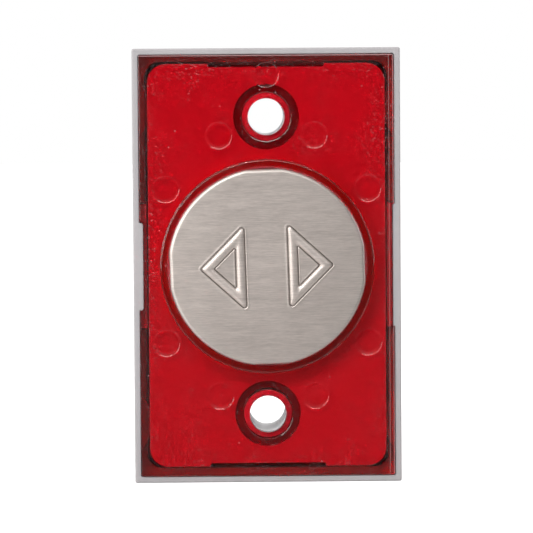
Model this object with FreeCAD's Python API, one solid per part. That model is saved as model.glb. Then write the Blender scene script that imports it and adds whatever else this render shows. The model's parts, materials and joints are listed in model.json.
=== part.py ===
"""Rectangular panel-mount push button: translucent red halo plate in a grey
housing, round brushed-steel press cap, switch, lamp board and plug at the back.

Units are millimetres.  Frame: origin on the button's own axis where it crosses
the front face of the halo plate (the face that seats on the back of a panel).
+Z is up as installed, +X to the right of somebody facing the button, and +Y
points into the panel, so the press direction is +Y and the steel cap stands
out towards -Y.  In the names, y0 is a front face and y1 a rear face.
"""
import FreeCAD, Part
import math
import os

V = FreeCAD.Vector
ORIGIN = V(0, 0, 0)
Y_AXIS = V(0, 1, 0)
SIDES = (-1, 1)
AHEAD, BEHIND = -10.0, 30.0          # y clear of the whole button, for through cuts


# ------------------------------------------------------------------ helpers
def four(x, z):
    """The four mirror images of a place."""
    return [(sx * x, sz * z) for sx in SIDES for sz in SIDES]


def box(xa, xb, y0, y1, za, zb):
    """Box between limits; the x and z limits may come in either order."""
    return Part.makeBox(abs(xb - xa), y1 - y0, abs(zb - za), V(min(xa, xb), y0, min(za, zb)))


def block(w, h, y0, y1, x=0.0, z=0.0):
    """Box w wide and h high, centred on (x, z)."""
    return box(x - w / 2, x + w / 2, y0, y1, z - h / 2, z + h / 2)


def cyl(r, y0, y1, x=0.0, z=0.0):
    return Part.makeCylinder(r, y1 - y0, V(x, y0, z), Y_AXIS)


def polygon(points):
    return Part.makePolygon(points + [points[0]])


def along_y(shape):
    """Straight edges parallel to Y."""
    out = []
    for edge in shape.Edges:
        if edge.Curve.TypeId == "Part::GeomLine":
            d = edge.Vertexes[1].Point - edge.Vertexes[0].Point
            if abs(d.x) < 1e-6 and abs(d.z) < 1e-6:
                out.append(edge)
    return out


def edges_at(shape, y, tol=1e-4):
    """Edges lying wholly in the plane of constant y."""
    return [e for e in shape.Edges
            if abs(e.BoundBox.YMin - y) < tol and abs(e.BoundBox.YMax - y) < tol]


def rounded(w, h, r, y0, y1, x=0.0, z=0.0):
    """Block with its four edges along Y rounded to r."""
    b = block(w, h, y0, y1, x, z)
    return b.makeFillet(r, along_y(b))


def fuse(items):
    return items[0].multiFuse(items[1:]).removeSplitter()


def cut(shape, tools):
    for tool in tools:
        shape = shape.cut(tool)
    return shape


def drill(shape, places, r, y0=AHEAD, y1=BEHIND):
    return cut(shape, [cyl(r, y0, y1, x, z) for x, z in places])


def coil(r, wire, y0, y1, turns, x=0.0):
    """Helical wire of mean radius r between the planes y0 and y1. The section is a
    ten-sided polygon with the area of the round wire, square to the wire."""
    length = (y1 - y0) - wire
    pitch = length / turns
    lead = math.atan2(pitch, 2 * math.pi * r)
    sides = 10
    corner_r = wire / 2 * math.sqrt(2 * math.pi / (sides * math.sin(2 * math.pi / sides)))
    points = []
    for k in range(sides):
        angle = 2 * math.pi * (k + 0.5) / sides
        u = corner_r * math.cos(angle)
        w = corner_r * math.sin(angle)
        points.append(V(r + u, -w * math.sin(lead), w * math.cos(lead)))
    helix = Part.makeHelix(pitch, length, r)
    spring = Part.Wire(helix.Edges).makePipeShell([polygon(points)], True, True)
    spring.rotate(ORIGIN, V(1, 0, 0), -90)
    spring.translate(V(x, y0 + wire / 2, 0))
    return spring


def screw(x, z, head_r, head_y0, head_y1, tip_y):
    """Pan-head screw entering from behind, with a cross recess."""
    shank_r = 0.95
    slot_len, slot_w = 2 * 0.62 * head_r, 0.34
    slot_y0 = head_y1 - 0.55 * (head_y1 - head_y0)
    head = cyl(head_r, head_y0, head_y1, x, z)
    head = head.makeFillet(0.25, edges_at(head, head_y1))
    body = head.fuse(cyl(shank_r, tip_y, head_y0, x, z))
    body = body.makeChamfer(0.3, edges_at(body, tip_y))
    cross = block(slot_len, slot_w, slot_y0, head_y1 + 1, x, z).fuse(
        block(slot_w, slot_len, slot_y0, head_y1 + 1, x, z))
    return body.cut(cross)


# -------------------------------------------------------- shared dimensions
# halo plate
plate_w, plate_h = 38.0, 63.0
plate_t = 1.8                        # wall behind the front face
skirt_back = 4.0                     # rear edge of the skirt
window_half = 9.5                    # skirt windows at the sides
stud_r, stud_z = 2.75, 22.25         # clearance for M5 studs above and below the axis
studs = [(0, s * stud_z) for s in SIDES]
tongue_half = 8.5                    # snap tongues at top and bottom
tongue_y1, hook_y0 = 6.9, 5.7
# side notches: side, depth, half length, corner radius, corner radius of the filling tab
notches = [(-1, 0.6, 6.65, 0.4, 0.35), (1, 0.3, 9.25, 0.25, 0.2)]
lens_r = 6.5                         # lens-shaped support pads
lens_places = four(23.9, 23.5)

# housing
house_back = 14.0
recess_w, recess_h = plate_w + 0.2, plate_h + 0.2
room_w, room_h = 36.0, 61.0
floor_y0, floor_y1 = 7.4, 8.6        # partition
tube_r = 3.6                         # stud tubes
cover_y0 = 12.6                      # front of the pocket for the rear cover
cover_w, cover_h = 37.4, 62.4
cover_post_r = 2.1

# press cap and plunger
cap_y0, cap_t = -3.2, 0.8
head_y0 = -2.3                       # front of the plunger
stem_r, flange_r, flange_y0 = 14.4, 16.9, 2.95
post_x, post_r = 9.0, 1.8
spring_seat_y = 0.9

# lamp board and what stands on it
pcb_y0, pcb_y1 = 9.9, 11.5
led_places = four(12.6, 16.4) + four(10.0, 27.0)
pcb_screws = four(15.2, 27.7)
cover_screws = four(15.3, 12.5)
pilot_r, screw_clear_r = 1.0, 1.1
switch_w = 8.0                       # the switch is square
switch_y0 = 6.2
switch_well_y = 9.4                  # bottom of the well in the switch body
actuator_y1 = 7.0
leg_places = four(4.15, 2.25)
plug_z = 11.0
pin_pitch, pin_n, pin_s = 2.5, 4, 0.64
pin_x = [(k - (pin_n - 1) / 2) * pin_pitch for k in range(pin_n)]


def lenses(r=lens_r, y1=BEHIND):
    return [cyl(r, AHEAD, y1, x, z) for x, z in lens_places]


# --------------------------------------------------------------- halo plate
def snap_tongue(side, z_out):
    """Tongue at the top or bottom, and the hook facing outwards at its end."""
    tongue_t = 0.55
    hook_x = tongue_half - 0.5
    overlap = 0.001                  # into the skirt
    tongue = box(-tongue_half, tongue_half, plate_t - 0.3, tongue_y1,
                 side * (z_out - tongue_t), side * (z_out + overlap))
    # (y, rise beyond the tongue)
    profile = [(hook_y0, 0), (hook_y0, 0.9), (tongue_y1, 0.2), (tongue_y1, 0)]
    points = [V(-hook_x, y, side * (z_out + rise)) for y, rise in profile]
    return [tongue, Part.Face(polygon(points)).extrude(V(2 * hook_x, 0, 0))]


def ring_groove(r, x, z):
    """A fine groove: a gentle slope inwards and a short, steeper outer wall."""
    depth, proud = 0.045, 0.005
    points = [V(r - 0.45, -proud, 0), V(r - 0.03, depth, 0), V(r + 0.10, -proud, 0)]
    groove = Part.Face(polygon(points)).revolve(ORIGIN, Y_AXIS, 360)
    groove.translate(V(x, 0, z))
    return groove


def halo_plate():
    skirt_in_w, skirt_in_h, skirt_in_r = 36.6, 60.7, 2.6
    window_x = 17.0
    lens_pocket_y = 2.75
    collar_r, collar_out = 16.0, 2.0     # raised ring round the cap
    bore_r = 14.9                        # hole the cap slides in
    cbore_r, cbore_d = 3.65, 0.25        # counterbore round each stud hole
    mark_r, insert_r, insert_z = 1.95, 1.85, 28.5

    plate = rounded(plate_w, plate_h, 0.25, 0, skirt_back)
    plate = plate.makeFillet(0.15, edges_at(plate, 0))
    plate = plate.cut(rounded(skirt_in_w, skirt_in_h, skirt_in_r, plate_t, BEHIND))
    # side windows, and the shallow pockets the support pads reach into
    plate = cut(plate, [box(s * window_x, s * 20, plate_t, BEHIND, -window_half, window_half)
                        for s in SIDES])
    behind = box(-20, 20, lens_pocket_y, BEHIND, -40, 40)
    plate = plate.cut(fuse([lens.common(behind) for lens in lenses()]))
    for s in SIDES:
        plate = plate.fuse(snap_tongue(s, skirt_in_h / 2)).removeSplitter()

    collar = cyl(collar_r, -collar_out, 0.5)
    collar = collar.makeFillet(0.35, edges_at(collar, -collar_out))
    plate = plate.fuse(collar).removeSplitter()
    plate = plate.cut(cyl(bore_r, AHEAD, BEHIND))
    bore_rim = [e for e in edges_at(plate, -collar_out) if e.BoundBox.XMax < bore_r + 0.01]
    plate = plate.makeFillet(0.12, bore_rim)

    for stud in studs:
        plate = drill(plate, [stud], stud_r)
        plate = drill(plate, [stud], cbore_r, y1=cbore_d)
        # broken edge round the mouth of the counterbore
        plate = plate.cut(Part.makeCone(cbore_r + 0.155, cbore_r - 0.02, 0.06,
                                        V(0, -0.005, stud[1]), Y_AXIS))
    # ejector marks, and the outline of a round mould insert
    for x, z in four(7.1, 19.5) + four(15.1, 11.5):
        plate = plate.cut(ring_groove(mark_r, x, z))
    plate = plate.cut(ring_groove(insert_r, 0, insert_z))
    for side, depth, half, corner_r, _ in notches:
        plate = plate.cut(rounded(2 * depth + 2, 2 * half, corner_r, AHEAD, BEHIND,
                                  side * (plate_w / 2 + 1)))
    return plate


# --------------------------------------------- diffuser and the frame behind
diffuser_y0, diffuser_y1 = plate_t + 0.05, 2.65


def diffuser():
    centre_r, stud_hole_r = 15.9, 4.9
    relief_z = 29.7                      # inner edge of the reliefs for the tongues
    sheet = rounded(35.5, 60.4, 2.8, diffuser_y0, diffuser_y1)
    sheet = drill(sheet, [(0, 0)], centre_r)
    for s in SIDES:
        sheet = drill(sheet, [(0, s * stud_z)], stud_hole_r)
        sheet = sheet.cut(rounded(2 * tongue_half + 0.4, 2.0, 0.3, AHEAD, BEHIND,
                                  0, s * (relief_z + 1.0)))
    return sheet


def light_frame():
    y0, y1, back_t = diffuser_y1 + 0.05, floor_y0 - 0.05, 0.8
    ring_r, bore_r, sleeve_r = 18.2, 17.15, 4.9
    rib_x0, rib_x1, rib_z, rib_t = 10.5, 17.0, 22.2, 0.8
    relief_x, relief_z = tongue_half + 0.3, 29.6

    outer = rounded(35.4, 60.4, 2.7, y0, y1)
    frame = outer.cut(rounded(33.4, 58.2, 1.7, AHEAD, y1 - back_t))
    walls = [cyl(ring_r, y0, y1)]
    walls += [cyl(sleeve_r, y0, y1, x, z) for x, z in studs]
    walls += [box(sx * rib_x0, sx * rib_x1, y0, y1, sz * rib_z - rib_t / 2, sz * rib_z + rib_t / 2)
              for sx in SIDES for sz in SIDES]
    frame = frame.fuse([wall.common(outer) for wall in walls]).removeSplitter()
    frame = drill(frame, [(0, 0)], bore_r)
    for s in SIDES:
        frame = drill(frame, [(0, s * stud_z)], tube_r + 0.2)
        frame = frame.cut(box(-relief_x, relief_x, AHEAD, BEHIND, s * relief_z, s * 40))
    for x, z in led_places:
        frame = frame.cut(rounded(4.2, 3.6, 0.4, 5, BEHIND, x, z))
    return cut(frame, lenses(lens_r + 0.15, 4.5))


# ------------------------------------------------------------------ housing
def housing():
    house_w, house_h = 40.0, 65.0
    rim_y = 0.3
    flange_back = 4.6                    # the body behind the front flange is narrower
    inset = 0.8                          # taken off width and height behind the flange
    room_r = 2.0
    seat_gap = 0.05                      # between the skirt and the ledge behind it
    wall_x = recess_w / 2 + 0.2          # added parts reach 0.2 into the side walls
    ledge_y = skirt_back + 0.3           # and past the ledge
    key_x, key_half = 17.95, window_half - 0.2
    guide_r, guide_y1 = 2.9, 9.3         # guides for the plunger posts
    snap_x, snap_z = tongue_half + 0.4, 30.0

    shell = rounded(house_w, house_h, 0.3, rim_y, flange_back)
    shell = shell.makeFillet(0.2, edges_at(shell, rim_y) + edges_at(shell, flange_back))
    body = rounded(house_w - inset, house_h - inset, 0.6, flange_back - 1.0, house_back)
    body = body.makeFillet(0.3, edges_at(body, house_back))
    shell = shell.fuse(body).removeSplitter()
    shell = cut(shell, [
        rounded(recess_w, recess_h, 0.3, AHEAD, skirt_back + seat_gap),
        rounded(room_w, room_h, room_r, AHEAD, floor_y0),
        rounded(room_w, room_h, room_r, floor_y1, BEHIND),
        rounded(cover_w + 0.2, cover_h + 0.2, 1.0, cover_y0, BEHIND)])

    adds = []
    for s in SIDES:
        adds.append(cyl(tube_r, plate_t + 0.05, house_back, 0, s * stud_z))
        adds.append(cyl(guide_r, floor_y0, guide_y1, s * post_x))
    # keys behind the side windows of the plate, and the tabs that fill its notches
    adds += [box(s * key_x, s * wall_x, 1.9, ledge_y, -key_half, key_half) for s in SIDES]
    for side, depth, half, _, corner_r in notches:
        tab = rounded(2.0, 2 * half - 0.2, corner_r, rim_y, 2.2,
                      side * (plate_w / 2 - depth + 0.1 + 1.0))
        adds.append(tab.common(box(0, side * wall_x, 0, 3, -10, 10)))
    # lens-shaped pads under the skirt
    pad_limits = box(-wall_x, wall_x, 2.85, ledge_y, -40, 40)
    adds += [lens.common(pad_limits) for lens in lenses()]
    # posts for the board screws and the cover screws
    adds += [cyl(2.0, floor_y0, pcb_y0, x, z) for x, z in pcb_screws]
    adds += [cyl(cover_post_r, floor_y0, cover_y0, x, z) for x, z in cover_screws]
    shell = shell.fuse(adds).removeSplitter()

    for s in SIDES:
        shell = drill(shell, [(0, s * stud_z)], stud_r)
        shell = drill(shell, [(s * post_x, 0)], post_r + 0.06, 5, guide_y1 + 0.01)
        # slot that catches the hook of the tongue
        shell = shell.cut(box(-snap_x, snap_x, hook_y0 - 0.2, tongue_y1 + 0.2,
                              s * snap_z, s * 40))
    shell = shell.cut(rounded(switch_w + 0.8, switch_w + 0.8, 0.3, 5, BEHIND))
    for x, z in led_places:
        shell = shell.cut(rounded(3.9, 3.3, 0.3, 5, 9, x, z))
    shell = drill(shell, pcb_screws, pilot_r, 7.8)
    return drill(shell, cover_screws, pilot_r, 8.8)


def rear_cover():
    vent_n, vent_z0, vent_pitch = 5, -13.4, 2.6
    cover = rounded(cover_w, cover_h, 1.1, cover_y0 + 0.02, house_back)
    cover = cover.makeFillet(0.2, edges_at(cover, house_back))
    cover = drill(cover, studs, tube_r + 0.15)
    cover = cover.cut(rounded(13.0, 6.9, 0.4, AHEAD, BEHIND, 0, plug_z))
    for place in cover_screws:
        cover = drill(cover, [place], screw_clear_r)
        cover = drill(cover, [place], 2.1, house_back - 0.85)
    for k in range(vent_n):
        cover = cover.cut(rounded(12.0, 1.1, 0.5, AHEAD, BEHIND, 0, vent_z0 + vent_pitch * k))
    return cover


# ---------------------------------------------------------------- press cap
def triangle(side, base_x, half_h, tip_x, y0, y1):
    """Triangle pointing away from the axis to one side, run along Y."""
    points = [V(side * base_x, y0, half_h), V(side * base_x, y0, -half_h), V(side * tip_x, y0, 0)]
    return Part.Face(polygon(points)).extrude(V(0, y1 - y0, 0))


def press_cap():
    cap_r, cap_flat = 14.75, 14.5        # radius, and half width over the flats
    inner_r, inner_flat = 14.0, cap_flat - 0.7
    skirt_y1 = -0.8
    edge_r = 0.6                         # rolled front edge
    set_deg = 1.7                        # how the cap sits turned on its carrier
    ridge_y = cap_y0 - 0.35              # front of the triangular ridges
    # base x, half height, tip x
    ridge_outer = (3.20, 6.45, 9.90)
    ridge_inner = (4.65, 3.04, 7.81)

    cap = cyl(cap_r, cap_y0, skirt_y1).common(block(2 * cap_flat, 2 * cap_flat, AHEAD, BEHIND))
    cap = cap.makeFillet(edge_r, edges_at(cap, cap_y0))
    cap = cap.cut(cyl(inner_r, cap_y0 + cap_t, 5).common(
        block(2 * inner_flat, 2 * inner_flat, AHEAD, BEHIND)))
    for s in SIDES:
        ridge = triangle(s, *ridge_outer, ridge_y, cap_y0 + 0.1)
        ridge = ridge.makeFillet(0.25, along_y(ridge))
        ridge = ridge.cut(triangle(s, *ridge_inner, cap_y0 - 1, cap_y0 + 0.2))
        ridge = ridge.makeChamfer(0.18, edges_at(ridge, ridge_y))
        cap = cap.fuse(ridge)
    cap = cap.removeSplitter()
    cap.rotate(ORIGIN, Y_AXIS, -set_deg)
    return cap


# ------------------------------------------------- plunger and return springs
def plunger():
    head_r, head_w, head_y1 = 13.9, 27.2, -0.7
    flange_y1 = 4.15
    hollow_r, web_y1 = 12.6, -0.9        # the web closes the front of the hollow
    root_y = web_y1 - 0.05               # everything inside roots in the web
    post_y1, seat_r = 8.2, 3.4
    rib_len, rib_t = 25.8, 1.0

    body = fuse([cyl(head_r, head_y0, head_y1).common(block(head_w, head_w, -5, 5)),
                 cyl(stem_r, head_y1, flange_y1), cyl(flange_r, flange_y0, flange_y1)])
    body = body.cut(cyl(hollow_r, web_y1, BEHIND))
    adds = [cyl(1.7, root_y, 4.1), cyl(1.5, 4.0, 4.55)]     # stepped centre boss
    for s in SIDES:
        adds += [cyl(post_r, root_y, post_y1, s * post_x),
                 cyl(seat_r, root_y, spring_seat_y, s * post_x)]
    adds += [block(rib_len, rib_t, root_y, 0.5), block(rib_t, rib_len, root_y, 2.4)]
    body = body.fuse(adds).removeSplitter()
    return body.makeChamfer(0.4, edges_at(body, post_y1))


def stop_ring():
    return cyl(flange_r - 0.1, 2.67, flange_y0).cut(cyl(stem_r + 0.2, AHEAD, BEHIND))


def return_spring(side):
    return coil(2.55, 0.4, spring_seat_y + 0.02, floor_y0 - 0.02, 4, side * post_x)


# ---------------------------------------------------------------- the board
def pcb():
    board = rounded(room_w - 0.4, room_h - 0.4, 2.2, pcb_y0, pcb_y1)
    board = drill(board, studs, tube_r + 0.2)
    board = drill(board, pcb_screws, screw_clear_r)
    board = drill(board, cover_screws, cover_post_r + 0.25)
    for x, z in leg_places:
        board = board.cut(rounded(0.6, 1.0, 0.2, AHEAD, BEHIND, x, z))
    return drill(board, [(x, plug_z) for x in pin_x], 0.5)


def led(x, z):
    """Lamp facing forwards, with a dished front."""
    front = 8.3
    body = block(3.2, 2.8, front, pcb_y0, x, z)
    body = body.makeChamfer(0.2, edges_at(body, front))
    return body.cut(Part.makeCone(1.15, 0.85, 0.4, V(x, front, z), Y_AXIS))


def led_resistor(x, z):
    body = block(2.0, 1.24, pcb_y1, pcb_y1 + 0.5, x, z)
    return body.makeFillet(0.06, body.Edges)


def protection_diode():
    back = pcb_y1 + 1.0
    body = block(4.2, 2.6, pcb_y1, back, -4.4, -13.0)
    return body.makeChamfer(0.25, edges_at(body, back))


def debounce_capacitor():
    body = block(3.2, 1.6, pcb_y1, pcb_y1 + 1.0, 4.0, -13.0)
    return body.makeFillet(0.1, body.Edges)


# ------------------------------------------------------------------- switch
def switch_body():
    return rounded(switch_w, switch_w, 0.3, switch_y0, pcb_y0).cut(cyl(3.0, 5, switch_well_y))


def switch_cover():
    plate = rounded(switch_w, switch_w, 0.3, switch_y0 - 0.3, switch_y0)
    return plate.cut(cyl(1.8, AHEAD, BEHIND))


def switch_actuator():
    front = 4.6
    button = fuse([cyl(1.7, front, actuator_y1), cyl(2.6, 6.45, actuator_y1)])
    return button.makeFillet(0.2, edges_at(button, front))


def switch_spring():
    return coil(2.0, 0.25, actuator_y1 + 0.02, switch_well_y - 0.02, 3)


def switch_terminal(x, z):
    return block(0.26, 0.7, 8.8, 12.1, x, z)


# --------------------------------------------------------------------- plug
def connector_header():
    back = 18.5
    hole = pin_s + 0.04
    slot_z0, slot_z1 = 2.2, 5.0          # side slots, measured from the plug's centre
    shroud = rounded(12.4, 6.2, 0.5, pcb_y1, back, 0, plug_z)
    shroud = shroud.makeFillet(0.2, edges_at(shroud, back))
    shroud = shroud.cut(rounded(10.8, 4.6, 0.3, 13.0, BEHIND, 0, plug_z))
    # one wide slot in the lower wall, two narrow ones in the upper
    shroud = shroud.cut(box(-2.4, 2.4, 13.8, BEHIND, plug_z - slot_z1, plug_z - slot_z0))
    for x in (-4.4, 4.4):
        shroud = shroud.cut(box(x - 0.4, x + 0.4, 15.0, BEHIND,
                                plug_z + slot_z0, plug_z + slot_z1))
    return cut(shroud, [block(hole, hole, AHEAD, BEHIND, x, plug_z) for x in pin_x])


def connector_pin(x):
    y0, y1 = 9.2, 17.4
    pin = block(pin_s, pin_s, y0, y1, x, plug_z)
    return pin.makeChamfer(0.15, edges_at(pin, y1) + edges_at(pin, y0))


# ------------------------------------------------------------------- screws
def pcb_screw(x, z):
    return screw(x, z, head_r=1.8, head_y0=pcb_y1, head_y1=pcb_y1 + 1.0, tip_y=8.2)


def cover_screw(x, z):
    return screw(x, z, head_r=1.95, head_y0=house_back - 0.84, head_y1=house_back - 0.04,
                 tip_y=9.3)


def at_each(make, places):
    return Part.makeCompound([make(x, z) for x, z in places])


nodes = {
    "halo_plate": halo_plate(),
    "diffuser": diffuser(),
    "light_frame": light_frame(),
    "housing": housing(),
    "rear_cover": rear_cover(),
    "press_cap": press_cap(),
    "cap_adhesive": cyl(13.5, cap_y0 + cap_t, head_y0),
    "plunger": plunger(),
    "stop_ring": stop_ring(),
    "return_spring_left": return_spring(-1),
    "return_spring_right": return_spring(1),
    "pcb": pcb(),
    "leds": at_each(led, led_places),
    "led_resistors": at_each(led_resistor, [(x, z - 4.0) for x, z in four(6.5, 4.2)]),
    "protection_diode": protection_diode(),
    "debounce_capacitor": debounce_capacitor(),
    "switch_body": switch_body(),
    "switch_cover": switch_cover(),
    "switch_actuator": switch_actuator(),
    "switch_spring": switch_spring(),
    "switch_terminals": at_each(switch_terminal, leg_places),
    "connector_header": connector_header(),
    "connector_pins": Part.makeCompound([connector_pin(x) for x in pin_x]),
    "pcb_screws": at_each(pcb_screw, pcb_screws),
    "rear_cover_screws": at_each(cover_screw, cover_screws),
}

os.makedirs("parts", exist_ok=True)
for name, shape in nodes.items():
    shape.exportStep("parts/%s.step" % name)
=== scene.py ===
"""A push button: a round brushed cap with two raised triangles, in front of an upright
clear red plate. X runs right, Z up, and the front faces -Y. The cap's axis is the Y axis.
Sizes are in millimetres unless said otherwise, and become metres through MM.
"""

import json
import math
import bmesh
import bpy
from mathutils import Matrix, Vector
from mathutils.geometry import delaunay_2d_cdt

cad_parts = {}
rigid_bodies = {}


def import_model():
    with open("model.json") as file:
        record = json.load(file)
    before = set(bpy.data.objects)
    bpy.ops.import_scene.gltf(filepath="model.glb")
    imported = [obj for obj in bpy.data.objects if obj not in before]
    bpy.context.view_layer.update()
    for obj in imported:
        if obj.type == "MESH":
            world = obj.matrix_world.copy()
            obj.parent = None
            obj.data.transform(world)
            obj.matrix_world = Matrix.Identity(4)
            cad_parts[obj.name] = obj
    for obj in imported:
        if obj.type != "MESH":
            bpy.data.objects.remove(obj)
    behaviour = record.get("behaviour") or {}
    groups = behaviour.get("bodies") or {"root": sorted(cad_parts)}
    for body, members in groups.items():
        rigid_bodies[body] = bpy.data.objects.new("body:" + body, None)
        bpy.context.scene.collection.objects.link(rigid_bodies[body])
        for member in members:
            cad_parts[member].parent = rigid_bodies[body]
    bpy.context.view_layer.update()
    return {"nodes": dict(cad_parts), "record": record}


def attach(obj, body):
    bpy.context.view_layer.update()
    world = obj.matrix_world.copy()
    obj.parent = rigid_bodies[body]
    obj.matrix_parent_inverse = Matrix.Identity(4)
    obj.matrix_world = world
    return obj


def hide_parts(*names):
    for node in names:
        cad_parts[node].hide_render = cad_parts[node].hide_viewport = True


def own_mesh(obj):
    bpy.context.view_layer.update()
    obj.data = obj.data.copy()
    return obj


MM = 0.001
MM_PER_METRE = 1000.0

# Plate and studs
PLATE_HALF_WIDTH, PLATE_HALF_HEIGHT = 19.0, 31.5
STUD_X, STUD_Z = 0.0, 22.25             # one stud above the middle, one below

# Cap
CAP_TURN = math.radians(1.7)            # the cap sits a little turned on its carrier
CAP_RADIUS, CAP_FLAT = 14.75, 14.5      # circle, and distance of its four short flats
CAP_FACE, CAP_WALL_END = -3.2, -0.8     # y of the front face and of the wall's back end
CAP_ROLL = 0.52                         # radius of the rolled front edge
CAP_CROWN, CROWN_RADIUS = 0.05, 14.0    # swell of the face at its middle, and its reach
OUTLINE_POINTS = 288
RIM_INSET, ROLL_INSET = 1.05, 0.80      # ring of flat face inside the rolled edge
LIP_RADIUS = 0.08                       # rounding at the wall's back end
HOLLOW_RADIUS, HOLLOW_FLAT = 14.0, 13.8

for old in list(bpy.data.objects):
    bpy.data.objects.remove(old, do_unlink=True)

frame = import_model()
NODES = frame["nodes"]
scene = bpy.context.scene
scene.view_settings.view_transform = "Standard"
scene.view_settings.look = "None"
scene.cycles.blur_glossy = 0.0          # keeps the light that passes through the red wall


# --------------------------------------------------------------- shader trees
class Value:
    """An output socket. Arithmetic on it adds Math nodes."""

    def __init__(self, tree, socket):
        self.tree = tree
        self.socket = socket

    def __add__(self, other):
        return self.tree.math("ADD", self, other)

    def __sub__(self, other):
        return self.tree.math("SUBTRACT", self, other)

    def __rsub__(self, other):
        return self.tree.math("SUBTRACT", other, self)

    def __mul__(self, other):
        return self.tree.math("MULTIPLY", self, other)

    def __abs__(self):
        return self.tree.math("ABSOLUTE", self)

    def ramp(self, span=(0.3, 0.7), to=(0.0, 1.0)):
        """Smooth step over span, giving values in to. The default span suits a noise."""
        node = self.tree.node("MapRange", {"interpolation_type": "SMOOTHSTEP"}, Value=self,
                              From_Min=span[0], From_Max=span[1], To_Min=to[0], To_Max=to[1])
        return self.tree.value(node, "Result")


class Tree:
    """The emptied node tree of a material or world, with short ways to add nodes."""

    def __init__(self, owner):
        owner.use_nodes = True
        self.owner = owner
        self.nodes = owner.node_tree.nodes
        self.links = owner.node_tree.links
        self.nodes.clear()

    def node(self, kind, props=None, **inputs):
        """Adds a node. An underscore in an input's name stands for a space."""
        node = self.nodes.new("ShaderNode" + kind)
        for key, value in (props or {}).items():
            setattr(node, key, value)
        for key, value in inputs.items():
            self.put(node, key.replace("_", " "), value)
        return node

    def put(self, node, key, value):
        """Links a Value or a node's first output to an input, or sets a plain value."""
        socket = node.inputs[key]
        if isinstance(value, bpy.types.Node):
            value = self.value(value)
        if isinstance(value, Value):
            self.links.new(value.socket, socket)
        elif socket.type == "RGBA":
            socket.default_value = (*value, 1.0)
        else:
            socket.default_value = value

    def value(self, node, output=0):
        return Value(self, node.outputs[output])

    def math(self, operation, *operands, clamp=False):
        node = self.node("Math", {"operation": operation, "use_clamp": clamp})
        for i, operand in enumerate(operands):
            self.put(node, i, operand)
        return self.value(node)

    def lesser(self, first, second):
        return self.math("MINIMUM", first, second)

    def greater(self, first, second):
        return self.math("MAXIMUM", first, second)

    def length(self, first, second):
        return self.math("SQRT", first * first + second * second)

    def mix(self, factor, base, over):
        node = self.node("Mix", {"data_type": "RGBA"})
        for key, value in ((0, factor), (6, base), (7, over)):
            self.put(node, key, value)
        return self.value(node, 2)

    def tint(self, colour, level):
        """Colour times a single value."""
        node = self.node("VectorMath", {"operation": "SCALE"})
        self.put(node, 0, colour)
        self.put(node, "Scale", level)
        return self.value(node)

    def coords(self, scale=(1, 1, 1), turn=(0, 0, 0), shift=(0, 0, 0)):
        """Object coordinates in millimetres, scaled, then turned and shifted."""
        place = self.value(self.node("TexCoord"), "Object")
        return self.value(self.node("Mapping", Vector=place, Rotation=turn, Location=shift,
                                    Scale=[MM_PER_METRE * s for s in scale]))

    def noise(self, place, scale, detail=2.0, rough=0.5):
        return self.value(self.node("TexNoise", Vector=place, Scale=scale, Detail=detail,
                                    Roughness=rough), "Fac")

    def voronoi(self, place, scale, feature="F1", output="Distance", random=1.0):
        return self.value(self.node("TexVoronoi", {"feature": feature}, Vector=place,
                                    Scale=scale, Randomness=random), output)

    def bump(self, height, depth, strength=1.0, normal=None):
        node = self.node("Bump", Height=height, Distance=depth * MM, Strength=strength)
        if normal is not None:
            self.put(node, "Normal", normal)
        return self.value(node)

    def soft_normal(self, radius):
        """Normal that rounds the edges."""
        return self.value(self.node("Bevel", {"samples": 4}, Radius=radius * MM))

    def edge(self, radius):
        """A mask, 0 on flat faces and rising to 1 along edges, and the rounded normal."""
        soft = self.soft_normal(radius)
        dot = self.node("VectorMath", {"operation": "DOT_PRODUCT"})
        self.put(dot, 0, soft)
        self.put(dot, 1, self.geometry("True Normal"))
        return self.value(dot, "Value").ramp(span=(0.995, 0.80)), soft

    def geometry(self, output):
        return self.value(self.node("NewGeometry"), output)

    def axes(self, vector):
        node = self.node("SeparateXYZ", Vector=vector)
        return [self.value(node, i) for i in range(3)]

    def either(self, choice, first, second):
        """The first shader where choice is 0, the second where it is 1."""
        node = self.node("MixShader")
        for i, value in enumerate((choice, first, second)):
            self.put(node, i, value)
        return node

    def surface(self, shader, volume=None):
        output = self.node("OutputMaterial", Surface=shader)
        if volume is not None:
            self.put(output, "Volume", volume)
        return self.owner

    def principled(self, volume=None, **inputs):
        return self.surface(self.node("BsdfPrincipled", **inputs), volume)


def new_material(name):
    return Tree(bpy.data.materials.new(name))


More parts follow.
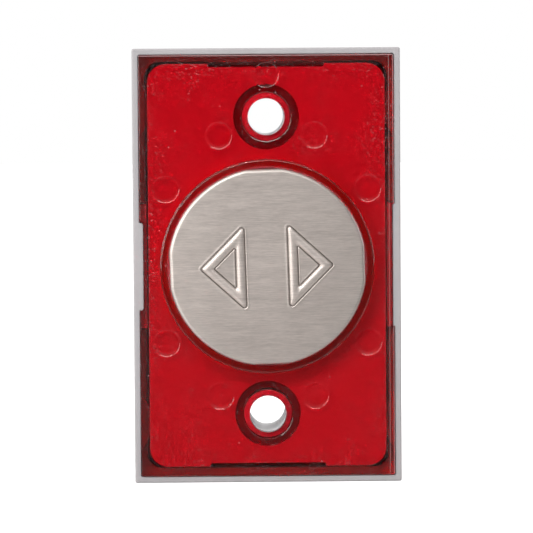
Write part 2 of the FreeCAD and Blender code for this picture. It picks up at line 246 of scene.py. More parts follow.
# --------------------------------------------------------------- materials
def moulded(name, colour, rough, grain, depth, vary, edge, edge_highlight,
            spec=0.5, scatter=0.0, flow=0.0, ring=None):
    """Moulded plastic: fine grain, faint flow marks and cloudiness, and a painted highlight
    along the edges.
    """
    tree = new_material(name)
    place = tree.coords()
    cloud = tree.noise(place, scale=0.13, detail=3.0, rough=0.6)
    fine = tree.noise(place, scale=1.0 / grain, rough=0.6)
    coarse = tree.noise(place, scale=0.35 / grain, detail=1.0)
    streak = tree.noise(tree.coords(scale=(1.0, 1.0, 0.18)), scale=0.9)
    level = (cloud.ramp(span=(0.25, 0.75), to=(1.0 - vary, 1.0 + vary * 0.6))
             * streak.ramp(to=(1.0 - flow, 1.0 + flow))
             * fine.ramp(span=(0.2, 0.8), to=(0.975, 1.02)))
    mask, soft = tree.edge(edge)
    # painted highlight: the edges are mixed towards a lighter copy of the colour
    shade = tree.mix(mask * 0.6, tree.tint(colour, level),
                     tuple(min(1.0, c * edge_highlight) for c in colour))
    if ring:
        # a round area about each stud axis, between two depths, gets a painted tone for its
        # light and shade: painted shade on the white frame, painted light in the grey bores
        radius, tone, y_low, y_high = ring
        x, y, z = tree.axes(place)
        painted_zone = (tree.length(x, abs(z) - STUD_Z).ramp(span=(radius + 0.08, radius))
                * (y.ramp(span=(y_low - 0.1, y_low)) * y.ramp(span=(y_high + 0.1, y_high))))
        shade = tree.mix(painted_zone, shade, tree.tint(tone, level))
    extra = {}
    if scatter:
        extra = dict(Subsurface_Weight=scatter, Subsurface_Radius=(1.0, 0.8, 0.7),
                     Subsurface_Scale=0.0012)
    patchy = tree.noise(place, scale=0.5).ramp(to=(rough - 0.05, rough + 0.06))
    return tree.principled(
        Base_Color=shade, Roughness=patchy - mask * 0.10, IOR=1.5, Specular_IOR_Level=spec,
        Normal=tree.bump(fine * 0.65 + coarse * 0.35, depth=depth, normal=soft), **extra)


def metal(name, colour, rough, dirt, line_scale):
    """Plated or drawn metal: fine scratches, faint tarnish in patches."""
    tree = new_material(name)
    place = tree.coords()
    lines = tree.noise(tree.coords(scale=line_scale), scale=6.0, detail=3.0, rough=0.65)
    patch = tree.noise(place, scale=0.6, detail=4.0, rough=0.6)
    spots = tree.voronoi(place, scale=2.2)
    level = (patch.ramp(span=(0.3, 0.75), to=(1.0, 1.0 - dirt)) * lines.ramp(to=(0.96, 1.02))
             * spots.ramp(span=(0.02, 0.10), to=(0.90, 1.0)))
    return tree.principled(
        Base_Color=tree.tint(colour, level), Metallic=1.0,
        Roughness=lines.ramp(to=(rough - 0.05, rough + 0.06))
        + patch.ramp(span=(0.4, 0.8)) * 0.12,
        Normal=tree.bump(lines, depth=0.003, strength=0.6, normal=tree.soft_normal(0.06)))


def red_plastic():
    """Clear red plastic. The colour is in the volume, so thick walls go maroon."""
    tree = new_material("halo_red")
    place = tree.coords()
    x, y, z = tree.axes(place)
    abs_x, abs_z = abs(x), abs(z)
    front = y.ramp(span=(0.5, 0.3))
    # distance to the plate's outline
    near = tree.lesser(PLATE_HALF_WIDTH - abs_x, PLATE_HALF_HEIGHT - abs_z)

    # where wear gathers: near the outline, in patches, and round the studs
    patch = tree.noise(place, scale=0.14, rough=0.55)
    worn = near.ramp(span=(5.0, 0.9), to=(0.0, 0.65)) + (patch * 2.2 - 1.08)
    worn = tree.math("MULTIPLY", worn, 1.0, clamp=True)
    stud = tree.length(x - STUD_X, abs_z - STUD_Z).ramp(span=(4.95, 4.7), to=(0.0, 0.45))
    worn = tree.greater(worn, stud) * front

    # fine pits and dust: many where worn, a few elsewhere
    grit = tree.noise(place, scale=4.6, rough=0.75)
    dust = tree.voronoi(place, scale=3.7)
    lot = tree.axes(tree.voronoi(place, scale=3.7, output="Color"))[0]
    sparse = tree.voronoi(place, scale=0.62)
    pits = dust.ramp(span=(0.40, 0.24)) * lot.ramp(span=(0.50, 1.05)) * worn
    few = sparse.ramp(span=(0.075, 0.045)) * front
    spark = tree.greater(pits, few * 0.9)

    # painted highlight: a pale line along the right and top edges, and one more inside the
    # right edge
    from_right = PLATE_HALF_WIDTH - x
    hair = tree.lesser(from_right, PLATE_HALF_HEIGHT - z)
    outer = hair.ramp(span=(0.22, 0.12)) * hair.ramp(span=(0.02, 0.06))
    inner = abs(from_right - 0.72).ramp(span=(0.09, 0.03), to=(0.0, 0.5)) * front
    painted_highlight_line = tree.greater(outer * front, inner)
    veil = near.ramp(span=(1.7, 1.2), to=(0.0, 0.010)) * front
    pale_specks_and_highlight = tree.greater(spark * 0.33 + veil, painted_highlight_line * 0.30)

    normal = tree.bump(grit * worn, depth=0.004)
    normal = tree.bump(spark * -1.0, depth=0.005, normal=normal)
    normal = tree.bump(tree.noise(place, scale=0.28), depth=0.015, normal=normal)
    level = (grit.ramp(span=(0.42, 0.66), to=(1.0, 1.0 - worn * 0.18))
             * tree.noise(place, scale=3.0, rough=0.7).ramp(to=(0.95, 1.0)))
    # pale pink, with less transmission, at the specks and along the painted highlight lines
    shade = tree.mix(tree.math("MULTIPLY", pale_specks_and_highlight, 2.2, clamp=True),
                     tree.tint((1.0, 1.0, 1.0), level), (0.90, 0.33, 0.37))
    volume = tree.node("VolumeAbsorption", Color=(0.925, 0.0, 0.22), Density=1500.0)
    return tree.principled(
        volume, Base_Color=shade, Roughness=tree.math("ADD", 0.03, worn * 0.03),
        Normal=normal, IOR=1.585, Transmission_Weight=1.0 - pale_specks_and_highlight)


def brushed():
    """Stainless steel with a brushed grain along the cap's own horizontal."""
    tree = new_material("brushed_cap")
    turn = (0.0, CAP_TURN, 0.0)
    fine = tree.noise(tree.coords(scale=(0.30, 1, 7.0), turn=turn),
                      scale=1.0, detail=4.0, rough=0.72)
    hair = tree.noise(tree.coords(scale=(0.9, 1, 13.0), turn=turn, shift=(3.1, 0, 7.7)),
                      scale=1.0, detail=3.0, rough=0.7)
    band = tree.noise(tree.coords(scale=(0.09, 1, 0.9), turn=turn), scale=1.0)
    broad = tree.noise(tree.coords(scale=(0.10, 0.1, 0.10)), scale=1.0)
    nick = tree.voronoi(tree.coords(scale=(0.30, 1, 0.30)), scale=1.0)
    height = fine * 0.55 + hair * 0.45
    level = (height.ramp(span=(0.34, 0.66), to=(0.84, 1.08))
             * band.ramp(to=(0.965, 1.03)) * broad.ramp(to=(0.97, 1.03)))
    level = level + nick.ramp(span=(0.030, 0.012), to=(0.0, 0.35))
    # painted shade: the base colour is darkened in the pressed grooves
    groove = tree.value(tree.node("Attribute", {"attribute_name": "groove"}), "Fac")
    level = level * groove.ramp(span=(0.3, 1.0), to=(1.0, 0.45))

    def axis(i):
        return tree.axes(tree.coords())[i]

    # painted highlight: the raised outlines are lighter than the flat
    level = level * axis(1).ramp(span=(-3.32, -3.48), to=(1.0, 1.10))
    # painted light and shade: the left side is lighter than the right, as lit from the left
    level = level * (axis(0).ramp(span=(-14.5, -6.0), to=(1.10, 1.0))
                     * axis(0).ramp(span=(-2.0, 14.5), to=(1.0, 0.90)))
    return tree.principled(
        Base_Color=tree.tint((0.665, 0.600, 0.562), level), Metallic=1.0,
        Roughness=height.ramp(to=(0.40, 0.49)),
        Normal=tree.bump(height, depth=0.012, strength=0.35), Anisotropic=0.52,
        Tangent=tree.node("CombineXYZ", X=-math.sin(CAP_TURN), Z=math.cos(CAP_TURN)))


def board():
    """Green solder mask over copper tracks, with lands and a faint weave."""
    tree = new_material("board_green")
    place = tree.coords()
    weave = tree.value(tree.node("TexChecker", Vector=tree.coords(scale=(0.9, 0.01, 0.9)),
                                 Scale=1.0), "Fac")
    cells = tree.voronoi(tree.coords(scale=(0.45, 0.01, 0.45)), scale=1.0,
                         feature="DISTANCE_TO_EDGE", random=0.0)
    jog = tree.noise(tree.coords(scale=(0.25, 0.01, 0.25)), scale=1.0, detail=0.0)
    # upright tracks that step sideways where the noise crosses its middle
    across = tree.axes(place)[0] * 0.36 + jog.ramp(span=(0.45, 0.55)) * 0.5
    track = abs(tree.math("FRACT", across) - 0.5).ramp(span=(0.10, 0.13), to=(1.0, 0.0))
    cloud = tree.noise(place, scale=0.2, detail=3.0)
    shade = tree.mix(track, (0.010, 0.105, 0.040), (0.020, 0.170, 0.060))
    shade = tree.mix(weave * 0.10, shade, (0.02, 0.13, 0.05))
    shade = tree.tint(shade, cloud.ramp(to=(0.88, 1.08)))
    # bare laminate on the sawn edges
    side = abs(tree.axes(tree.geometry("True Normal"))[1]).ramp(span=(0.9, 0.6))
    fibres = tree.noise(tree.coords(scale=(0.6, 9.0, 0.6)), scale=1.0)
    shade = tree.mix(side, shade, tree.mix(fibres, (0.30, 0.27, 0.14), (0.45, 0.42, 0.25)))
    relief = track * 0.6 + cells.ramp(span=(0.0, 0.06)) * 0.2
    return tree.principled(Base_Color=shade, Roughness=cloud.ramp(to=(0.22, 0.36)),
                           Normal=tree.bump(relief, depth=0.03, strength=0.7))


def led_body():
    """Milky package, yellow-white at its front."""
    tree = new_material("led_milky")
    place = tree.coords()
    tone = tree.noise(place, scale=1.4)
    front = tree.axes(place)[1].ramp(span=(8.5, 8.35))
    lens = tree.mix(tone, (0.78, 0.72, 0.42), (0.86, 0.82, 0.58))
    return tree.principled(
        Base_Color=tree.mix(front, (0.78, 0.78, 0.74), lens),
        Roughness=tone.ramp(to=(0.28, 0.4)),
        Normal=tree.bump(tree.noise(place, scale=6.0), depth=0.004, strength=0.6),
        Subsurface_Weight=0.2, Subsurface_Radius=(1.0, 0.8, 0.5), Subsurface_Scale=0.0004)


def chip(name, body, ends):
    """Chip component: a mottled body, with the colour of its ends in specks and on edges."""
    tree = new_material(name)
    place = tree.coords()
    tone = tree.noise(place, scale=2.5, detail=3.0)
    shade = tree.mix(tone.ramp(), body, tuple(c * 1.25 for c in body))
    speck = tree.voronoi(place, scale=5.0).ramp(span=(0.08, 0.03))
    shade = tree.mix(speck * 0.4, shade, ends)
    mask, soft = tree.edge(radius=0.12)
    return tree.principled(
        Base_Color=tree.mix(mask * 0.35, shade, ends), Roughness=tone.ramp(to=(0.35, 0.55)),
        Normal=tree.bump(tree.noise(place, scale=9.0), depth=0.004, strength=0.6,
                         normal=soft))


def silicone():
    """Off-white rubber with dark lint."""
    tree = new_material("soft_silicone")
    place = tree.coords()
    cloud = tree.noise(place, scale=0.8, detail=3.0)
    lint = tree.voronoi(place, scale=1.3).ramp(span=(0.06, 0.02))
    shade = tree.mix(cloud.ramp(), (0.82, 0.81, 0.79), (0.90, 0.89, 0.87))
    return tree.principled(
        Base_Color=tree.mix(lint * 0.5, shade, (0.35, 0.34, 0.33)),
        Roughness=cloud.ramp(to=(0.55, 0.7)), Sheen_Weight=0.15,
        Normal=tree.bump(tree.noise(place, scale=7.0), depth=0.006, strength=0.8))


def bond_film():
    """Yellowish film with pale bubbles."""
    tree = new_material("bond_film")
    place = tree.coords()
    cloud = tree.noise(place, scale=1.1, detail=3.0)
    bubble = tree.voronoi(place, scale=1.6).ramp(span=(0.16, 0.10))
    shade = tree.mix(cloud.ramp(), (0.62, 0.60, 0.52), (0.72, 0.70, 0.62))
    return tree.principled(Base_Color=tree.mix(bubble * 0.3, shade, (0.82, 0.80, 0.74)),
                           Roughness=0.5, Normal=tree.bump(bubble, depth=0.02, strength=0.5))


# name, colour, roughness, grain size, grain depth, cloudiness, edge radius,
# painted edge highlight, other settings (painted stud ring: radius, painted colour, first y,
# last y)
MOULDED = [
    ("opal_white", (0.85, 0.85, 0.84), 0.55, 0.35, 0.004, 0.02, 0.10, 1.00, dict(spec=0.4)),
    # painted shade: dark red on the white frame round the stud bosses
    ("white_abs", (0.66, 0.655, 0.65), 0.50, 0.25, 0.005, 0.03, 0.12, 1.10,
     dict(ring=(5.0, (0.24, 0.13, 0.13), 2.0, 9.0))),
    # painted light: near white inside the stud bores of the grey housing
    ("grey_abs", (0.44, 0.425, 0.44), 0.46, 0.24, 0.008, 0.04, 0.30, 1.45,
     dict(flow=0.015, ring=(3.7, (0.90, 0.89, 0.90), 1.5, 20.0))),
    ("cover_grey", (0.19, 0.195, 0.205), 0.50, 0.28, 0.010, 0.06, 0.20, 1.35,
     dict(flow=0.02)),
    ("natural_acetal", (0.90, 0.89, 0.87), 0.36, 0.50, 0.003, 0.03, 0.15, 1.05,
     dict(scatter=0.1)),
    ("stem_grey", (0.23, 0.24, 0.25), 0.40, 0.30, 0.003, 0.05, 0.10, 1.30, {}),
    ("switch_black", (0.030, 0.030, 0.033), 0.50, 0.20, 0.008, 0.08, 0.12, 1.90, {}),
    ("plug_cream", (0.70, 0.655, 0.545), 0.38, 0.35, 0.004, 0.04, 0.12, 1.08,
     dict(scatter=0.08)),
]
# name, colour, roughness, tarnish, scale of the scratches along x, y, z
METALS = [
    ("spring_wire", (0.62, 0.60, 0.57), 0.24, 0.12, (1, 1, 1)),
    ("plated_steel", (0.60, 0.595, 0.58), 0.30, 0.12, (0.3, 1, 2.5)),
    ("pin_tin", (0.66, 0.64, 0.60), 0.25, 0.18, (2.5, 0.4, 2.5)),
    ("screw_zinc", (0.58, 0.585, 0.59), 0.27, 0.20, (1, 2.5, 1)),
]

finishes = {"halo_red": red_plastic()}
for *row, settings in MOULDED:
    finishes[row[0]] = moulded(*row, **settings)
for row in METALS:
    finishes[row[0]] = metal(*row)
finishes.update(
    brushed_cap=brushed(),
    board_green=board(),
    led_milky=led_body(),
    chip_black=chip("chip_black", body=(0.020, 0.020, 0.022), ends=(0.50, 0.49, 0.47)),
    chip_tan=chip("chip_tan", body=(0.33, 0.22, 0.12), ends=(0.55, 0.54, 0.52)),
    soft_silicone=silicone(),
    bond_film=bond_film(),
)


def dress(node, finish):
    """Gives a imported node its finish."""
    obj = NODES[node]
    if not obj.material_slots:
        obj.data.materials.append(None)
    for slot in obj.material_slots:
        slot.link = "OBJECT"
        slot.material = finish


for part in frame["record"]["subparts"]:
    slot_key = "material_slot" if "material_slot" in part else "slot"
    dress(part["node"], finishes[part[slot_key]])


# --------------------------------------------------------------- mesh helpers
def mesh_object(name, verts, faces):
    mesh = bpy.data.meshes.new(name)
    mesh.from_pydata([(x * MM, y * MM, z * MM) for x, y, z in verts], [], faces)
    obj = bpy.data.objects.new(name, mesh)
    scene.collection.objects.link(obj)
    return obj


def new_part(name, verts, faces, slot_name):
    """A smooth-shaded piece with its finish."""
    obj = mesh_object(name, verts, faces)
    obj.data.validate()
    obj.data.update()
    for face in obj.data.polygons:
        face.use_smooth = True
    obj.data.materials.append(finishes[slot_name])
    return obj


def tidy(mesh, merge=False):
    """Points the normals outwards, after merging doubled vertices if asked."""
    work = bmesh.new()
    work.from_mesh(mesh)
    if merge:
        bmesh.ops.remove_doubles(work, verts=work.verts, dist=1e-8)
    bmesh.ops.recalc_face_normals(work, faces=work.faces)
    work.to_mesh(mesh)
    work.free()


def turned(x, z, angle):
    """Turned anticlockwise as seen from the front."""
    cos, sin = math.cos(angle), math.sin(angle)
    return x * cos - z * sin, x * sin + z * cos


def inside(point, outline):
    """Whether the point lies inside the closed outline."""
    hit = False
    for i in range(len(outline)):
        (x0, z0), (x1, z1) = outline[i], outline[i - 1]
        crosses = (z0 > point[1]) != (z1 > point[1])
        if crosses and point[0] < (x1 - x0) * (point[1] - z0) / (z1 - z0) + x0:
            hit = not hit
    return hit


# --------------------------------------------------------------- cap
# Raised triangles, before they are mirrored and shifted
TRI_BASE_X, TRI_TIP_X, TRI_HALF_HEIGHT = 3.2, 9.90, 6.42
TRI_SHIFT = 0.05                        # both triangles stand this far to the left
TRI_ARC_POINTS = 9
TRI_RUNS = (26, 20, 20)                 # steps along each side
BAND_WIDTH = 1.42                       # raised band, measured from groove to groove
DOME_HALF, DOME_HEIGHT, DOME_STEPS = BAND_WIDTH / 2 - 0.05, 0.32, 20
GROOVE_HALF = 0.13                      # reach of the painted groove shade on each side of a groove

# Section across the band: inset from the triangle, height in front of the face,
# corner radius. The dome comes between the two.
OUTER_LIP = [
    (-0.62, 0.0, 0.90), (-0.50, 0.0, 0.80), (-0.40, 0.006, 0.72),
    (-0.30, 0.020, 0.62), (-0.21, 0.032, 0.54), (-0.14, 0.018, 0.48),
    (-0.08, -0.045, 0.42), (-0.03, -0.090, 0.38), (0.03, -0.090, 0.34),
]
INNER_LIP = [
    (1.39, -0.090, 0.15), (1.45, -0.090, 0.13), (1.50, -0.045, 0.11), (1.56, 0.012, 0.09),
    (1.63, 0.020, 0.07), (1.70, 0.008, 0.05), (1.78, 0.0, 0.04), (1.88, 0.0, 0.03),
]
# Hollow behind the face: scale of its outline, y
HOLLOW = [(1.003, CAP_WALL_END), (1, CAP_WALL_END - 0.06), (1, -1.6), (1, -2.3),
          (0.995, -2.38), (0.98, -2.40)]


def cap_outline(inset, radius=CAP_RADIUS, flat=CAP_FLAT):
    """A circle with a short flat at top, bottom, left and right."""
    points = []
    for k in range(OUTLINE_POINTS):
        angle = 2 * math.pi * (k + 0.5) / OUTLINE_POINTS
        cos, sin = math.cos(angle), math.sin(angle)
        reach = min(radius - inset, (flat - inset) / max(abs(cos), abs(sin)))
        points.append((reach * cos, reach * sin))
    return points


def triangle(inset, radius):
    """A rounded triangle pointing to +X. Points run anticlockwise from the front."""
    tips = [(TRI_BASE_X, -TRI_HALF_HEIGHT), (TRI_TIP_X, 0.0), (TRI_BASE_X, TRI_HALF_HEIGHT)]
    sides = []                          # inward normal x and z, distance along it
    for i in range(3):
        (x0, z0), (x1, z1) = tips[i], tips[(i + 1) % 3]
        length = math.hypot(x1 - x0, z1 - z0)
        normal_x, normal_z = -(z1 - z0) / length, (x1 - x0) / length
        sides.append((normal_x, normal_z, normal_x * x0 + normal_z * z0 + inset))
    arcs = []
    for i in range(3):
        before, after = sides[i - 1], sides[i]
        det = before[0] * after[1] - before[1] * after[0]
        corner_x = (before[2] * after[1] - before[1] * after[2]) / det
        corner_z = (before[0] * after[2] - before[2] * after[0]) / det
        mid_x, mid_z = before[0] + after[0], before[1] + after[1]
        length = math.hypot(mid_x, mid_z)
        mid_x, mid_z = mid_x / length, mid_z / length
        sin_half = mid_x * before[0] + mid_z * before[1]
        centre_x = corner_x + mid_x * radius / sin_half
        centre_z = corner_z + mid_z * radius / sin_half
        start = math.atan2(-before[1], -before[0])
        stop = math.atan2(-after[1], -after[0])
        while stop < start:
            stop += 2 * math.pi
        arc = []
        for k in range(TRI_ARC_POINTS):
            angle = start + (stop - start) * k / (TRI_ARC_POINTS - 1)
            arc.append((centre_x + radius * math.cos(angle),
                        centre_z + radius * math.sin(angle)))
        arcs.append(arc)
    points = []
    for i, steps in enumerate(TRI_RUNS):
        points += arcs[i]
        (x0, z0), (x1, z1) = arcs[i][-1], arcs[(i + 1) % 3][0]
        points += [(x0 + (x1 - x0) * k / steps, z0 + (z1 - z0) * k / steps)
                   for k in range(1, steps)]
    return points


def band_section():
    """The whole section across the raised band."""
    dome = []
    for k in range(1, DOME_STEPS):
        angle = math.pi * k / DOME_STEPS
        inset = BAND_WIDTH / 2 - DOME_HALF * math.cos(angle)
        part = inset / BAND_WIDTH
        if part < 0.5:
            radius = 0.34 - 0.08 * math.sin(math.pi * (2 * part))
        else:
            radius = 0.34 - 0.18 * (2 * part - 1) ** 2
        dome.append((inset, -0.02 + DOME_HEIGHT * math.sin(angle), radius))
    return OUTER_LIP + dome + INNER_LIP


class CapMesh:
    """Vertices and faces of the cap, and how deep in a groove each vertex lies."""

    def __init__(self):
        self.verts = []
        self.faces = []
        self.groove = {}

    def add(self, x, y, z):
        turned_x, turned_z = turned(x, z, CAP_TURN)
        if y < CAP_FACE + 0.4:
            y -= CAP_CROWN * max(0.0, 1 - (x * x + z * z) / CROWN_RADIUS ** 2)
        self.verts.append((turned_x, y, turned_z))
        return len(self.verts) - 1

    def loop(self, points, y):
        return [self.add(x, y, z) for x, z in points]

    def strip(self, first, second):
        """Quads between two loops of the same length."""
        for i in range(len(first)):
            j = (i + 1) % len(first)
            self.faces.append((first[i], first[j], second[j], second[i]))

    def shell(self):
        """Rim of the face, rolled edge, wall and hollow. Returns the rim's inner loop."""
        rim = self.loop(cap_outline(RIM_INSET), CAP_FACE)
        last = self.loop(cap_outline(ROLL_INSET), CAP_FACE)
        self.strip(last, rim)
        stations = []                   # outline, y
        for k in range(15):
            angle = math.pi / 2 * k / 14
            stations.append((cap_outline(CAP_ROLL * (1 - math.sin(angle))),
                             CAP_FACE + CAP_ROLL * (1 - math.cos(angle))))
        for y in (CAP_FACE + CAP_ROLL + 0.12, CAP_WALL_END - 0.20):
            stations.append((cap_outline(0.0), y))
        for k in range(1, 4):
            angle = math.pi / 2 * k / 3
            stations.append((cap_outline(LIP_RADIUS * (1 - math.cos(angle))),
                             CAP_WALL_END - LIP_RADIUS + LIP_RADIUS * math.sin(angle)))
        hollow = cap_outline(0.0, HOLLOW_RADIUS, HOLLOW_FLAT)
        for scale, y in HOLLOW:
            stations.append(([(x * scale, z * scale) for x, z in hollow], y))
        for points, y in stations:
            loop = self.loop(points, y)
            self.strip(loop, last)
            last = loop
        centre = self.add(0, HOLLOW[-1][1], 0)
        for i in range(len(last)):
            self.faces.append((last[i], last[(i + 1) % len(last)], centre))
        return rim

    def raised_triangle(self, side):
        """Band and floor of one triangle. Returns its outer loop and that loop's points."""
        last = outer = None
        for inset, height, radius in band_section():
            points = triangle(inset, radius)
            if side < 0:
                points = [(-x, z) for x, z in reversed(points)]
            points = [(x - TRI_SHIFT, z) for x, z in points]
            loop = self.loop(points, CAP_FACE - height)
            away = min(abs(inset), abs(inset - BAND_WIDTH))
            for i in loop:
                self.groove[i] = max(0.0, 1.0 - (away / GROOVE_HALF) ** 2)
            if last is None:
                outer = loop, points
            else:
                self.strip(last, loop)
            last = loop
        floor_faces = delaunay_2d_cdt([Vector(p) for p in points], [],
                                      [list(range(len(points)))], 1, 1e-7)[2]
        for face in floor_faces:
            self.faces.append(tuple(last[i] for i in face))
        return outer

    def flat(self, rim, holes):
        """Flat of the face between the rim and the two triangles."""
        rim_points = cap_outline(RIM_INSET)
        places = [Vector(p) for p in rim_points]
        ids = list(rim)
        edges = []
        for loop, points in holes:
            base, count = len(places), len(points)
            places += [Vector(p) for p in points]
            ids += loop
            edges += [(base + i, base + (i + 1) % count) for i in range(count)]
        # staggered grid of loose points, kept clear of the rim and the triangles
        step = 1.5
        for i in range(-10, 11):
            for j in range(-10, 11):
                x, z = i * step + (0.5 * step if j % 2 else 0.0), j * step * 0.87
                out = abs(x + TRI_SHIFT)
                if math.hypot(x, z) > 12.9:
                    continue
                if 1.6 < out < 12.0 and abs(z) < (12.0 - out) * 0.98 and abs(z) < 8.2:
                    continue
                places.append(Vector((x, z)))
                ids.append(self.add(x, CAP_FACE, z))
        result = delaunay_2d_cdt(places, edges, [list(range(len(rim)))], 0, 1e-7)
        spots, triangles, origins = result[0], result[2], result[3]
        for face in triangles:
            centre = [sum(spots[i][axis] for i in face) / len(face) for axis in (0, 1)]
            if any(inside(centre, points) for _, points in holes):
                continue
            if inside(centre, rim_points):
                self.faces.append(tuple(ids[origins[i][0]] for i in face))


def build_cap():
    shape = CapMesh()
    rim = shape.shell()
    holes = [shape.raised_triangle(side) for side in (-1, 1)]
    shape.flat(rim, holes)
    cap = new_part("cap_brushed", shape.verts, shape.faces, "brushed_cap")
    groove = cap.data.attributes.new("groove", "FLOAT", "POINT")
    for i, depth in shape.groove.items():
        groove.data[i].value = depth
    tidy(cap.data, merge=True)
    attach(cap, "button")
    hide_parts("press_cap")


build_cap()


# --------------------------------------------------------------- springs
RETURN_X = 9.0
WIRE_SIDES, TURN_STEPS = 14, 48


def spring(name, radius, wire, y_front, y_back, turns, centre_x, closed):
    """Round-wire spring along Y. closed is the number of closed turns at each end."""
    total = turns + 2 * closed
    count = int(total * TURN_STEPS)
    length = (y_back - y_front) - wire
    end = wire * closed * 1.02
    path = []
    for i in range(count + 1):
        turn = total * i / count
        if turn < closed:
            y = end * (turn / closed)
        elif turn > total - closed:
            y = length - end * ((total - turn) / closed)
        else:
            y = end + (length - 2 * end) * (turn - closed) / turns
        angle = 2 * math.pi * turn
        path.append(Vector((radius * math.cos(angle), y, radius * math.sin(angle))))
    # even out the corners where the pitch changes
    heights = [p.y for p in path]
    for i, point in enumerate(path):
        k = min(TURN_STEPS // 6, i, count - i)
        point.y = sum(heights[i - k:i + k + 1]) / (2 * k + 1)
    verts, faces = [], []
    for i, point in enumerate(path):
        along = (path[min(i + 1, count)] - path[max(i - 1, 0)]).normalized()
        outward = Vector((point.x, 0, point.z)).normalized()
        outward = (outward - along * outward.dot(along)).normalized()
        across = along.cross(outward)
        for k in range(WIRE_SIDES):
            angle = 2 * math.pi * k / WIRE_SIDES
            spot = point + (outward * math.cos(angle) + across * math.sin(angle)) * wire / 2
            verts.append((spot.x + centre_x, spot.y + y_front + wire / 2, spot.z))
    for i in range(count):
        here, there = i * WIRE_SIDES, (i + 1) * WIRE_SIDES
        for k in range(WIRE_SIDES):
            j = (k + 1) % WIRE_SIDES
            faces.append((here + k, here + j, there + j, there + k))
    faces.append(tuple(range(WIRE_SIDES)))
    faces.append(tuple(count * WIRE_SIDES + k for k in reversed(range(WIRE_SIDES))))
    coil = new_part(name, verts, faces, "spring_wire")
    tidy(coil.data)
    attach(coil, "housing")
    return coil


for side, name in ((-1, "left"), (1, "right")):
    coil = spring("coil_" + name, radius=2.55, wire=0.40, y_front=0.93, y_back=7.37,
                  turns=2.6, centre_x=RETURN_X * side, closed=0.9)
    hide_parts("return_spring_" + name)
    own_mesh(coil)
coil = spring("coil_switch", radius=2.0, wire=0.25, y_front=7.03, y_back=9.37,
              turns=1.8, centre_x=0.0, closed=0.7)
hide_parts("switch_spring")
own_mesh(coil)


# --------------------------------------------------------------- stage
FLOOR_CELLS, FLOOR_HALF, FLOOR_Z = 24, 1.6, -32.52  # half width in metres, z in mm


def floor_material():
    """Near white to the camera, plain grey to other rays, darker at low glossy angles."""
    tree = new_material("floor_pale")
    path = tree.node("LightPath")
    seen = tree.node("AddShader")
    tree.put(seen, 0, tree.node("BsdfDiffuse", Color=(0.62, 0.62, 0.62)))
    tree.put(seen, 1, tree.node("Emission", Color=(1, 1, 1), Strength=0.80))
    plain = tree.node("BsdfDiffuse", Color=(0.55, 0.55, 0.55))
    slope = tree.axes(tree.geometry("Incoming"))[2].ramp(span=(0.14, 0.42))
    mirrored = tree.node("BsdfDiffuse", Color=tree.mix(slope, (0.07, 0.07, 0.07),
                                                       (0.60, 0.60, 0.60)))
    other = tree.either(tree.value(path, "Is Glossy Ray"), plain, mirrored)
    return tree.surface(tree.either(tree.value(path, "Is Camera Ray"), other, seen))


def build_floor():
    side = range(FLOOR_CELLS + 1)
    ticks = [(i / FLOOR_CELLS - 0.5) * 2 * FLOOR_HALF * MM_PER_METRE for i in side]
    verts = [(x, y, FLOOR_Z) for x in ticks for y in ticks]
    row = len(ticks)
    faces = []
    for i in range(FLOOR_CELLS):
        for j in range(FLOOR_CELLS):
            k = i * row + j
            faces.append((k, k + row, k + row + 1, k + 1))
    floor = mesh_object("floor", verts, faces)
    floor.data.materials.append(floor_material())


def build_world():
    """White to the camera. Its light fades to the right, below and straight in front."""
    world = bpy.data.worlds.new("studio")
    scene.world = world
    tree = Tree(world)
    x, y, z = tree.axes(tree.value(tree.node("TexCoord"), "Generated"))
    level = (z.ramp(span=(-0.1, 0.9), to=(0.42, 0.85))
             * x.ramp(span=(0.25, 0.75), to=(1.0, 0.42))
             * y.ramp(span=(-0.89, -0.972), to=(1.0, 0.06)))
    light = tree.node("Background", Color=(1.0, 0.985, 0.97), Strength=level)
    seen = tree.node("Background", Color=(1, 1, 1), Strength=1.0)
    camera_ray = tree.value(tree.node("LightPath"), "Is Camera Ray")
    tree.node("OutputWorld", Surface=tree.either(camera_ray, light, seen))


def around(azimuth, elevation, distance):
    """A place round the object; azimuth 0 is the camera's side, positive to the left."""
    turn, rise = math.radians(azimuth), math.radians(elevation)
    return (-distance * math.sin(turn) * math.cos(rise),
            -distance * math.cos(turn) * math.cos(rise), distance * math.sin(rise))


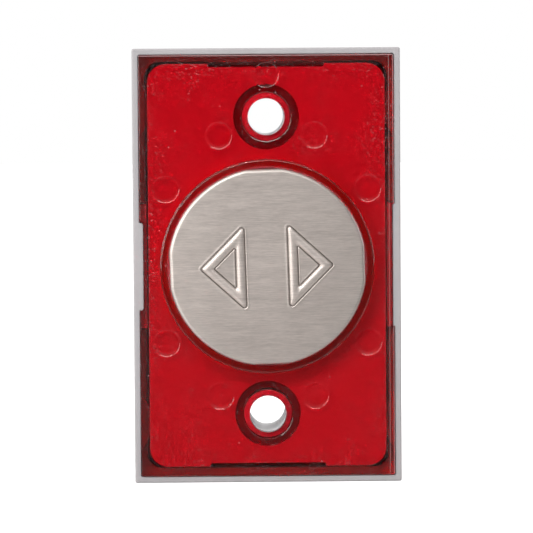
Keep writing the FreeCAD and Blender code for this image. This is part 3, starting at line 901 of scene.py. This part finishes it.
def softbox(name, place, width, height, radiance, colour):
    """Rectangular light aimed at the origin."""
    light = bpy.data.lights.new(name, "AREA")
    light.shape = "RECTANGLE"
    light.size, light.size_y = width, height
    light.energy = radiance * math.pi * width * height
    light.color = colour
    obj = bpy.data.objects.new(name, light)
    scene.collection.objects.link(obj)
    obj.location = place
    obj.rotation_euler = (-Vector(place)).to_track_quat("-Z", "Y").to_euler()
    obj.visible_camera = False


# name, place (azimuth, elevation in degrees, distance), width, height, radiance, colour;
# lengths in metres
LIGHTS = [
    ("key_left", around(40, 2, 0.66), 0.50, 0.62, 3.1, (1.0, 0.985, 0.965)),
    ("spark_left", around(24, 40, 0.64), 0.06, 0.06, 55.0, (1.0, 0.985, 0.965)),
    ("side_left", around(92, 8, 0.60), 0.50, 0.50, 1.9, (1.0, 0.99, 0.97)),
    ("top_soft", around(4, 38, 0.62), 0.60, 0.12, 4.4, (1.0, 0.99, 0.98)),
    ("fill_right", around(-62, 6, 0.66), 0.22, 0.46, 0.6, (1.0, 0.975, 0.955)),
    ("side_right", around(-114, 18, 0.64), 0.34, 0.50, 2.2, (1.0, 0.99, 0.98)),
    ("back_soft", (0.25, 0.55, 0.40), 0.50, 0.40, 1.4, (0.98, 0.99, 1.0)),
]

# Camera, in metres
CAMERA_PLACE, CAMERA_AIM = Vector((-0.0070, -0.5445, 0.0316)), Vector((-0.0001, 0.0, -0.0001))
CAMERA_ROLL = math.radians(-0.4)


def build_camera():
    data = bpy.data.cameras.new("camera")
    camera = bpy.data.objects.new("camera", data)
    scene.collection.objects.link(camera)
    look = (CAMERA_AIM - CAMERA_PLACE).to_track_quat("-Z", "Y").to_matrix()
    camera.location = CAMERA_PLACE
    camera.rotation_euler = (look @ Matrix.Rotation(CAMERA_ROLL, 3, "Z")).to_euler()
    data.sensor_width = 36.0
    data.lens = 246.6
    data.clip_start = 0.01
    data.clip_end = 20.0
    scene.camera = camera


build_floor()
build_world()
for row in LIGHTS:
    softbox(*row)
build_camera()
